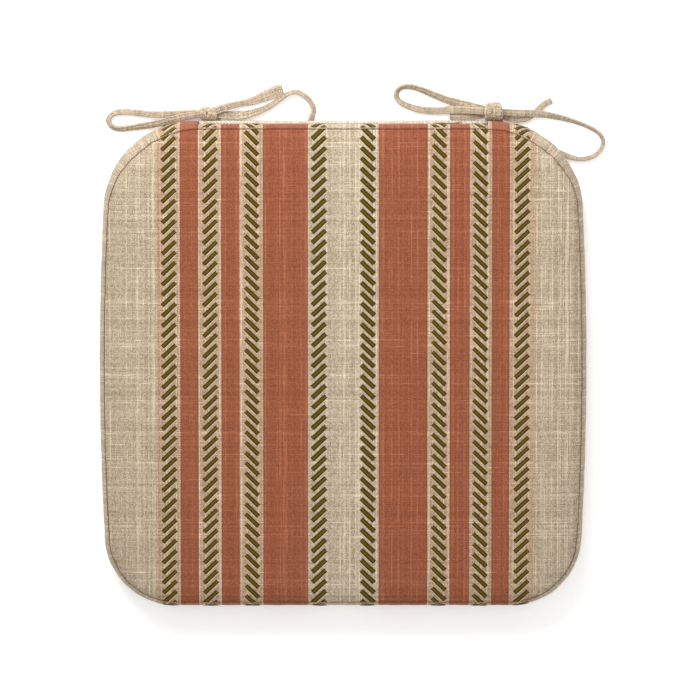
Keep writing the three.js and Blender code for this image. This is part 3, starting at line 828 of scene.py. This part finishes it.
wall_profile = [
    (wall_bulge * level**2, wall_foot + (seam_height - wall_foot) * (level + 1) / 2)
    for level in np.linspace(-1, 1, 27)
]
rolled_edge = ((3.6, 0.2), (3.85, 0.3), (4.1, 0.3))
rolled_top = [(inset * MM, seam_height + rise * MM) for inset, rise in rolled_edge]
wall_profile += rolled_top
on_back_strips = (edge_places[:, 1] > half_depth - 0.01 * MM) & (
    np.abs(edge_places[:, 0]) < back_seam_x - seam_gap / 2
)
round_front = list(np.flatnonzero(~on_back_strips))
boxing = wall("cover_boxing_front_and_sides", round_front, wall_rows(wall_profile), striped_linen, 0.55)
plain_linen = undyed_linen("plain_linen", colour(222, 209, 188), 1.2 * MM, contrast=0.6, bump=0.4)
lip_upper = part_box("boxing_back_upper")[0][2]
lip_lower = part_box("boxing_back_lower")[1][2]


def lip_profile(rows, foot, head):
    """A zip strip's outer profile from rows of (share of its height, inset)."""
    shares = np.linspace(0, 1, 15)
    insets = softened(np.interp(shares, *np.array(rows).T), 1)
    return [(inset * MM, foot + (head - foot) * share) for share, inset in zip(shares, insets)]


upper_profile = lip_profile(
    [(0, 3.4), (0.15, 2.1), (0.44, 1.4), (0.76, 1.8), (1, 3.5)], lip_upper, seam_height
) + rolled_top
lower_profile = lip_profile(
    [(0, 3.5), (0.2, 1.0), (0.56, -0.3), (0.85, 0.7), (1, 3.4)], wall_foot, lip_lower
)
across_back = sorted(np.flatnonzero(on_back_strips), key=lambda k: edge_places[k][0])
back_upper = wall("cover_boxing_back_upper", across_back, wall_rows(upper_profile), striped_linen, 0.3)
back_lower = wall("cover_boxing_back_lower", across_back, wall_rows(lower_profile), plain_linen, 0.3)
for piece, node, finish in (
    (boxing, "boxing_front_and_sides", "striped_linen"),
    (back_upper, "boxing_back_upper", "striped_linen"),
    (back_lower, "boxing_back_lower", "plain_linen"),
):
    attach(piece, "pad")
    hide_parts(node)

# ---------------------------------------------------------------- embroidered dashes
# Eight rows of slanting satin-stitch dashes in olive thread, raised on the cloth, each with a
# thin raised strip beside it, pale as a painted highlight along the dash's edge. They run from
# front to back over the face and on down the boxing, as they were worked on the cloth before it
# was cut.
dash_pitch = 8.59 * MM
dash_rise = 10.3 * MM
dash_height = 0.55 * MM
highlight_width = 0.9 * MM
highlight_height = 0.28 * MM
dash_stations = 13
groove_inset = (panel_edge + 4.1 * MM) / 2
cloth_points, cloth_faces = [], []
for piece in (top_panel, boxing, back_upper):
    start = len(cloth_points)
    cloth_points += [tuple(v.co) for v in piece.data.vertices]
    cloth_faces += [[start + i for i in polygon.vertices] for polygon in piece.data.polygons]
cloth_surface = BVHTree.FromPolygons(cloth_points, cloth_faces)


seam_spots = edge_places - edge_outs * (groove_inset + drawn_in(edge_run))[:, None]
seam_halves = [seam_spots[edge_places[:, 1] * sign > 0] for sign in (1, -1)]
seam_lines = [half[np.argsort(half[:, 0])].T for half in seam_halves]
seam_found = {}


def seam_ends(x):
    """How far back and how far front the seam round the face is, at a place across the pad."""
    return [float(np.interp(x, *line)) for line in seam_lines]


def seam_y(x, sign):
    """The back end (1) or the front end (-1), worked out once for each quarter millimetre."""
    key = round(x / (0.25 * MM))
    if key not in seam_found:
        seam_found[key] = seam_ends(x)
    return seam_found[key][0 if sign > 0 else 1]


def on_cloth(x, run):
    """A point on the cloth and its outward direction, run measured front to back over the face
    and on down the boxing."""
    sign = 1 if run > 0 else -1
    past = (run - seam_y(x, sign)) * sign
    if past < -0.15 * MM:
        return cloth_surface.ray_cast(Vector((x, run, 60 * MM)), Vector((0, 0, -1)))[:2]
    if past < 0.5 * MM:
        return Vector((x, seam_y(x, sign), seam_height - 0.35 * MM)), Vector((0, 0, 1))
    level = seam_height + 0.4 * MM - past
    return cloth_surface.ray_cast(Vector((x, 260 * MM * sign, level)), Vector((0, -sign, 0)))[:2]


def dash_row(name, place, width, half_span, stops, thread, height=dash_height, beside_by=0.0):
    """One row of dashes. place is its middle across the pad, its slant, which is 1 where a
    dash rises to the right and -1 to the left, and where one of its dashes crosses."""
    middle_x, slant, phase_y = place
    back_stop, front_stop = stops
    half_length = math.hypot(half_span, dash_rise / 2)
    lie = np.array([half_span, slant * dash_rise / 2]) / half_length
    beside = np.array([-lie[1], lie[0]]) * slant
    section = [
        (-0.5, -0.35), (-0.5, 0.35), (-0.36, 0.85), (-0.13, 1),
        (0.13, 1), (0.36, 0.85), (0.5, 0.35), (0.5, -0.35),
    ]

    def ring_at(middle, share):
        """A ring of points round a dash, or None past the end of the cloth."""
        ring = []
        for across, up in section:
            spot = middle + lie * share * half_length + beside * (across * width + beside_by)
            point, out = on_cloth(float(spot[0]), float(spot[1]))
            if point is None or not front_stop < spot[1] < back_stop:
                return None
            rounded = up * height * (1 - 0.35 * abs(share) ** 10)
            ring.append((point + out * rounded, (share * half_length, across * width)))
        return ring

    points, flat, faces = [], [], []
    first = math.ceil((front_stop - phase_y) / dash_pitch)
    last = math.floor((back_stop - phase_y) / dash_pitch)
    for number in range(first, last + 1):
        middle = np.array([middle_x, phase_y + number * dash_pitch])
        shaken = math.sin(number * 2.1), math.sin(number * 1.3 + middle_x * 900)
        middle += 0.12 * MM * np.array(shaken)
        rings = []
        for share in np.linspace(-1, 1, dash_stations):
            ring = ring_at(middle, share)
            if ring:
                rings.append(ring)
            elif len(rings) > 1:
                break
            else:
                rings = []
        if len(rings) > 2:
            tube = len(rings), len(section), len(points)
            faces += tube_faces(*tube) + flat_ends(*tube)
            points += [spot for ring in rings for spot, _ in ring]
            flat += [spot for ring in rings for _, spot in ring]
    return plain_piece(name, points, faces, thread, cloth_map=flat)


def satin_thread(name, middle, edges):
    """Rayon floats side by side: one colour along the middle of a dash, and a darker one at its edges as
    painted shade on the rounded stitch.
    """
    material, tree, shader = new_material(name)
    place = on_the_cloth(tree)
    _, across, _ = axes_of(tree, place)
    twist = noise(tree, place, (350, 3200, 1))
    off_middle = calc(tree, "ABSOLUTE", calc(tree, "DIVIDE", across, 1.5 * MM))
    # Painted shade: the colour darkens from the middle of a dash out to its edges.
    base = mix_colour(tree, step_up(tree, off_middle, 0.25, 0.95), middle, edges)
    base = mix_colour(tree, 1.0, base, calc(tree, "MULTIPLY_ADD", twist, 0.9, 0.45), "MULTIPLY")
    rough = calc(tree, "MULTIPLY_ADD", twist, 0.25, 0.4)
    floats = calc(tree, "SINE", calc(tree, "MULTIPLY", across, 2 * math.pi / (0.42 * MM)))
    dress(tree, shader, base, rough, calc(tree, "MULTIPLY_ADD", twist, 0.6, floats), 0.6, 0.2 * MM)
    shader.inputs["Specular IOR Level"].default_value = 0.12
    return material


# The second colour of each thread is painted shade at the edges of the raised stitch.
olive_thread = satin_thread("olive_thread", colour(106, 87, 12), colour(70, 53, 5))
# The pale thread makes the thin strip beside each dash; its colour is a painted highlight along the dash's
# edge.
highlight_thread = satin_thread("highlight_thread", colour(222, 205, 178), colour(206, 186, 156))
# Each row: its middle across the pad, half its span, its slant, where one dash crosses and
# its width, in millimetres.
dash_rows = [
    (-144.4, 5.6, 1, 193.1, 3.6), (-110.2, 5.5, 1, 193.1, 3.6), (-75.8, 5.4, -1, 189.3, 3.6),
    (-20.0, 5.6, 1, 193.7, 4.0), (20.4, 5.5, -1, 193.6, 4.0), (79.5, 5.4, -1, 195.8, 3.6),
    (113.7, 5.5, -1, 198.7, 3.6), (148.4, 5.7, 1, 193.3, 3.6),
]
for number, (middle, half_span, slant, phase, width) in enumerate(dash_rows, 1):
    place = middle * MM, slant, phase * MM
    down_front = seam_height - wall_foot - 1.2 * MM
    down_back = down_front
    if abs(place[0]) < back_seam_x:
        down_back = seam_height - lip_upper - 0.8 * MM
    seam_back, seam_front = seam_ends(place[0])
    stops = seam_back + down_back, seam_front - down_front
    olive = dash_row(f"dash_row_{number}", place, width * MM, half_span * MM, stops, olive_thread)
    # The thin pale strip beside each dash, a painted highlight.
    pale = dash_row(
        f"painted_highlight_row_{number}", place, highlight_width, (half_span - 0.6) * MM, stops, highlight_thread,
        height=highlight_height, beside_by=-slant * (width / 2 + 0.5) * MM,
    )
    for row in (olive, pale):
        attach(row, "pad")

# ---------------------------------------------------------------- bottom panel
# The underside of the cover: one piece of plain linen, flat where it lies on the seat, and
# turned up into the bottom seam all round.
bottom_seam_height = wall_foot
bottom_allowance_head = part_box("bottom_panel")[1][2]


def bottom_under(places, inset):
    """The height of the underside, at places inset that far from the widest line."""
    depth = max(inset - panel_edge, 0)
    rise = bottom_seam_height * math.exp(-depth / (3.5 * MM))
    hollow = 0.12 * MM * (1 + unevenness(places[:, 0] / (23 * MM), places[:, 1] / (26 * MM)))
    return rise + hollow * (1 - math.exp(-depth / (16 * MM)))


def bottom_inside(places, inset):
    return bottom_under(places, inset) + cloth_thickness


bottom_turn = [(-0.15, 0.3), (-0.4, 0.9), (-0.5, 1.7), (-0.5, 3.6), (-0.5, 5.7)]
bottom_turn += [(0.3, 5.7), (0.3, 3.6), (0.35, 2.0), (0.75, 1.3)]
rings = [(inset, bottom_under) for inset in face_rings[::-1]]
rings += [
    (panel_edge + shift * MM, min(bottom_seam_height + rise * MM, bottom_allowance_head))
    for shift, rise in bottom_turn
]
rings += [(inset + cloth_thickness, bottom_inside) for inset in face_rings[:-1:3]]
bottom_panel = round_form("cover_bottom_panel", rings, plain_linen)
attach(bottom_panel, "pad")
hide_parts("bottom_panel")

# ---------------------------------------------------------------- seam stitches
# Brown polyester thread. One line of lockstitch closes each seam, deep in the groove where
# the cloths meet, and one line holds each zip tape behind the strip that covers it.
stitch_length = 2.7 * MM
thread_radius = 0.24 * MM
thread_sides = 6


def thread_finish(name, light, dark):
    """Twisted thread: two plies winding round each other, with painted shade in the grooves between them,
    and a little fuzz.
    """
    material, tree, shader = new_material(name)
    along, around, _ = axes_of(tree, on_the_cloth(tree))
    winding = calc(tree, "ADD", calc(tree, "DIVIDE", along, 0.5 * MM), around)
    ply = calc(tree, "ABSOLUTE", calc(tree, "SINE", calc(tree, "MULTIPLY", winding, math.pi)))
    fuzz = noise(tree, on_the_piece(tree), 900.0)
    # Painted shade: the dark colour lies in the grooves between the plies, the light one on their crests.
    base = mix_colour(tree, ply, dark, light)
    base = mix_colour(tree, calc(tree, "MULTIPLY", fuzz, 0.5), base, dark)
    rough = calc(tree, "MULTIPLY_ADD", fuzz, 0.25, 0.45)
    dress(tree, shader, base, rough, ply, 0.6, 0.12 * MM)
    return material


brown_thread = thread_finish("brown_thread", colour(150, 104, 76), colour(84, 50, 34))


def stitches(name, spots, alongs, outs, dip):
    """A row of stitches, each a short bow of thread whose ends dip into the cloth."""
    stations = np.linspace(-0.5, 0.5, 7)
    turns = np.linspace(0, 2 * math.pi, thread_sides, endpoint=False)
    points, flat, faces = [], [], []
    for spot, along, out in zip(spots, alongs, outs):
        beside = np.cross(along, out)
        tube = len(stations), thread_sides, len(points)
        faces += tube_faces(*tube) + flat_ends(*tube)
        for share in stations:
            reach = along * share * stitch_length * 0.92
            middle = spot + reach - out * dip * (2 * abs(share)) ** 3
            radius = thread_radius * (1 - 0.35 * (2 * abs(share)) ** 4)
            for turn in turns:
                points.append(middle + (out * math.sin(turn) + beside * math.cos(turn)) * radius)
                flat.append((share * stitch_length, turn / (2 * math.pi)))
    return plain_piece(name, points, faces, brown_thread, cloth_map=flat)


def round_seam(name, node, height, up):
    """Stitches all the way round the outline, at a height in the groove."""
    drawn = drawn_in(edge_run) if up > 0 else np.zeros(len(edge_run))
    line = edge_places - edge_outs * (groove_inset + drawn)[:, None]
    closed = np.vstack([line, line[:1]])
    run = run_of(closed)
    count = round(run[-1] / stitch_length)
    at = (np.arange(count) + 0.5) * run[-1] / count

    def on_line(stations):
        return np.column_stack([np.interp(stations, run, closed[:, k]) for k in range(2)])

    alongs = np.column_stack([unit(on_line(at) - on_line(at - 0.3 * MM)), np.zeros(count)])
    lift = 0.5 * pucker(np.interp(at, run[:-1], edge_run), 0) * up
    spots = np.column_stack([on_line(at), height + lift])
    seam = stitches(name, spots, alongs, np.tile([0, 0, float(up)], (count, 1)), 0.5 * MM)
    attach(seam, "pad")
    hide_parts(node)


round_seam("seam_stitches_top", "top_seam_thread", seam_height + 0.12 * MM, 1)
round_seam("seam_stitches_bottom", "bottom_seam_thread", bottom_seam_height + 0.1 * MM, -1)

lip_stitch_reach = back_seam_x - 4 * MM
lip_stitch_drop = 4.6 * MM
for name, height, profile in (
    ("zip_stitches_upper", lip_upper + lip_stitch_drop, upper_profile),
    ("zip_stitches_lower", lip_lower - lip_stitch_drop, lower_profile),
):
    count = int(2 * lip_stitch_reach / stitch_length)
    across = (np.arange(count) + 0.5) * stitch_length - lip_stitch_reach
    insets, heights = np.array(profile).T
    y = half_depth - np.interp(height, heights, insets) + 0.1 * MM
    spots = np.column_stack([across, np.full(count, y), np.full(count, height)])
    alongs, outs = np.tile([1.0, 0, 0], (count, 1)), np.tile([0, 1.0, 0], (count, 1))
    row = stitches(name, spots, alongs, outs, 0.45 * MM)
    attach(row, "pad")

# ---------------------------------------------------------------- foam and wadding
# The filling: a block of cut foam with its edges rounded by hand, between two layers of
# polyester wadding that soften its edges and fill out the cover.


def fibre_finish(name, light, dark, scale, depth):
    """A soft filling: open cells in foam, or matted fibres in wadding, with painted shade in their
    hollows.
    """
    material, tree, shader = new_material(name)
    place = on_the_piece(tree)
    open_cells = {"Vector": place, "Scale": scale, "Randomness": 1.0}
    cells = add(tree, "TexVoronoi", open_cells).outputs["Distance"]
    mats = noise(tree, place, scale * 0.35, 5.0, Distortion=1.2)
    drift = noise(tree, place, 14.0, 3.0)
    height = calc(tree, "MULTIPLY_ADD", mats, 0.8, cells)
    # Painted shade: the dark colour lies where the relief is low, in the hollows of the cells and mats.
    base = mix_colour(tree, calc(tree, "MULTIPLY_ADD", height, 0.7, 0.1), dark, light)
    base = mix_colour(tree, calc(tree, "MULTIPLY", drift, 0.35), base, colour(226, 206, 160))
    rough = calc(tree, "MULTIPLY_ADD", mats, 0.2, 0.75)
    dress(tree, shader, base, rough, height, 0.8, depth)
    return material


foam_finish = fibre_finish("foam", colour(244, 234, 200), colour(206, 188, 138), 1100.0, 0.4 * MM)
wadding_finish = fibre_finish("wadding", colour(250, 248, 242), colour(214, 210, 200), 420.0, 0.9 * MM)


def filling(name, node, edge_rounding, puff, material, drawn=0.0):
    """A layer of filling with rounded edges, in the room that its plain form holds. drawn is
    how much further in it lies, all round, where the cover is drawn in at the top seam."""
    low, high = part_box(node)
    inset = half_width - high[0]
    radius = min(edge_rounding, (high[2] - low[2]) * 0.49)
    near = [inset + radius + d * MM for d in (1.5, 5, 10)]
    insides = near + [rim + (half_depth - rim) * share for share in np.linspace(0.02, 0.98, 22)]
    rounding = [(math.sin(t), math.cos(t)) for t in np.linspace(0, math.pi / 2, 5)]

    def swing(places):
        return puff * unevenness(places[:, 0] / (17 * MM), places[:, 1] / (19 * MM))

    def over(places, spot):
        level = high[2] - puff + swing(places)
        return np.minimum(level, panel_under(places, spot) - 0.3 * MM)

    def under(places, spot):
        return low[2] + puff - swing(places)

    under_cover = float(np.min(panel_under(edge_places, inset + radius)))
    top = min(high[2] - puff, under_cover - 0.5 * MM) - radius
    foot = low[2] + puff + radius
    rings = [(spot, over) for spot in insides[::-1]]
    rings += [(inset + radius * (1 - sine), top + radius * cosine) for sine, cosine in rounding]
    rings += [(inset + radius * (1 - cosine), foot - radius * sine) for sine, cosine in rounding]
    rings += [(spot, under) for spot in insides]
    layer = round_form(name, rings, material, drawn=drawn)
    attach(layer, "pad")
    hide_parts(node)


draw = drawn_in(edge_run)
filling("filling_foam_block", "foam_core", 5 * MM, 0.15 * MM, foam_finish, 0.6 * draw)
filling("filling_wadding_under", "wadding_bottom", 2 * MM, 0.3 * MM, wadding_finish)
filling("filling_wadding_over", "wadding_top", 2.4 * MM, 0.4 * MM, wadding_finish, 1.15 * draw)

# ---------------------------------------------------------------- zip
# A nylon coil zip in the back boxing: two woven tapes, each with a coil sewn along its edge,
# stops of pressed brass at the ends, and a brass slider whose pull swings on its bridge.
coil_low = [Vector(c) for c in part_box("zip_coil_lower")]
coil_high = [Vector(c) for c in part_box("zip_coil_upper")]
zip_line = (coil_low[1].z + coil_high[0].z) / 2
coil_pitch = 1.6 * MM
coil_wire = 0.3 * MM
coil_overlap = 0.22 * MM
steps_a_turn = 12
wire_sides = 6


def tape_weave():
    """Herringbone polyester tape, a little shiny, with painted shade between its ribs."""
    material, tree, shader = new_material("zip_tape")
    place = on_the_piece(tree)
    x, _, z = axes_of(tree, place)
    course = calc(tree, "PINGPONG", calc(tree, "DIVIDE", z, 1.1 * MM), 1.0)
    slant = calc(tree, "FRACT", calc(tree, "ADD", calc(tree, "DIVIDE", x, 0.55 * MM), course))
    rib = calc(tree, "SINE", calc(tree, "MULTIPLY", slant, math.pi))
    fuzz = noise(tree, place, 700.0, 3.0)
    # Painted shade: the darker colour lies between the ribs, the paler one on their crests.
    base = mix_colour(tree, rib, colour(146, 130, 104), colour(196, 180, 150))
    base = mix_colour(tree, calc(tree, "MULTIPLY", fuzz, 0.4), base, colour(170, 150, 120))
    dress(tree, shader, base, calc(tree, "MULTIPLY_ADD", fuzz, 0.25, 0.5), rib, 0.7, 0.2 * MM)
    return material


def nylon():
    """Drawn nylon, slightly milky, with faint draw lines."""
    material, tree, shader = new_material("zip_nylon")
    lines = noise(tree, on_the_piece(tree), 1500.0)
    base = mix_colour(tree, lines, colour(168, 150, 118), colour(206, 192, 164))
    dress(tree, shader, base, calc(tree, "MULTIPLY_ADD", lines, 0.2, 0.3), lines, 0.25, 0.05 * MM)
    shader.inputs["Subsurface Weight"].default_value = 0.15
    shader.inputs["Subsurface Radius"].default_value = (0.002, 0.0015, 0.001)
    return material


def brass():
    """Antique brass: dark in some places, rubbed bright in others, and finely scratched."""
    material, tree, shader = new_material("zip_brass")
    place = on_the_piece(tree)
    tarnish = noise(tree, place, 420.0, 5.0, Roughness=0.65)
    scratch = noise(tree, place, (500, 6000, 6000))
    rubbed = step_up(tree, tarnish, 0.35, 0.65)
    base = mix_colour(tree, rubbed, colour(104, 82, 46), colour(190, 160, 98))
    rough = calc(tree, "MULTIPLY_ADD", tarnish, -0.3, 0.52)
    rough = calc(tree, "MULTIPLY_ADD", scratch, 0.15, rough)
    height = calc(tree, "MULTIPLY_ADD", scratch, 0.5, tarnish)
    dress(tree, shader, base, rough, height, 0.35, 0.04 * MM)
    shader.inputs["Metallic"].default_value = 1
    return material


zip_tape_finish, zip_nylon, zip_brass = tape_weave(), nylon(), brass()


def woven_tape(node):
    """A tape with thinned edges, sewn flat behind its strip of the cover."""
    low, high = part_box(node)
    thick, middle = (high[1] - low[1]) / 2, (high[1] + low[1]) / 2
    rise = np.linspace(0, 1, 13)
    edge = np.sqrt(np.maximum(0.05, 1 - np.abs(2 * rise - 1) ** 12))
    heights = low[2] + (high[2] - low[2]) * rise
    section = np.vstack([
        np.column_stack([middle + thick * edge, heights]),
        np.column_stack([middle - thick * edge, heights])[::-1],
    ])
    columns = np.linspace(low[0], high[0], 90)
    points, flat = [], []
    for x in columns:
        ripple = 0.12 * MM * unevenness(x / (6 * MM))
        points += [(x, y + ripple, z) for y, z in section]
        flat += [(x, z) for _, z in section]
    faces = tube_faces(len(columns), len(section)) + flat_ends(len(columns), len(section))
    piece = plain_piece(node + "_woven", points, faces, zip_tape_finish, cloth_map=flat)
    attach(piece, "pad")
    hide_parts(node)


woven_tape("zip_tape_upper")
woven_tape("zip_tape_lower")


def coil(node, corners, sign, shift):
    """One coil: a long flattened helix of nylon whose heads reach across the zip's middle line."""
    low, high = corners
    outer = high.z if sign > 0 else low.z
    head = zip_line - sign * coil_overlap
    middle_y, reach_y = (low.y + high.y) / 2, (high.y - low.y) / 2 - coil_wire
    middle_z, reach_z = (outer + head) / 2, abs(outer - head) / 2 - coil_wire
    turns = int((high.x - low.x - 2 * coil_wire) / coil_pitch - shift)
    turned = np.arange(turns * steps_a_turn + 1) / steps_a_turn

    def squared(wave):
        return np.sign(wave) * np.abs(wave) ** 0.75

    centres = np.column_stack([
        low.x + coil_wire + (turned + shift) * coil_pitch,
        middle_y + reach_y * squared(np.sin(2 * math.pi * turned)),
        middle_z + reach_z * squared(np.cos(2 * math.pi * turned)),
    ])
    tangents = unit(np.gradient(centres, axis=0))
    first = unit(np.array([1.0, 0, 0]) - tangents * tangents[:, :1])
    second = np.cross(tangents, first)
    sides = np.linspace(0, 2 * math.pi, wire_sides, endpoint=False)[None, :, None]
    round_wire = first[:, None] * np.cos(sides) + second[:, None] * np.sin(sides)
    rings = centres[:, None] + coil_wire * round_wire
    faces = tube_faces(len(turned), wire_sides) + flat_ends(len(turned), wire_sides)
    piece = plain_piece(node + "_wound", rings.reshape(-1, 3), faces, zip_nylon)
    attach(piece, "pad")
    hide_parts(node)


coil("zip_coil_upper", coil_high, 1, 0)
coil("zip_coil_lower", coil_low, -1, 0.5)

for node in ("zip_top_stop_upper", "zip_top_stop_lower", "zip_end_stop", "zip_slider", "zip_pull"):
    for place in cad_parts[node].material_slots:
        place.material = zip_brass
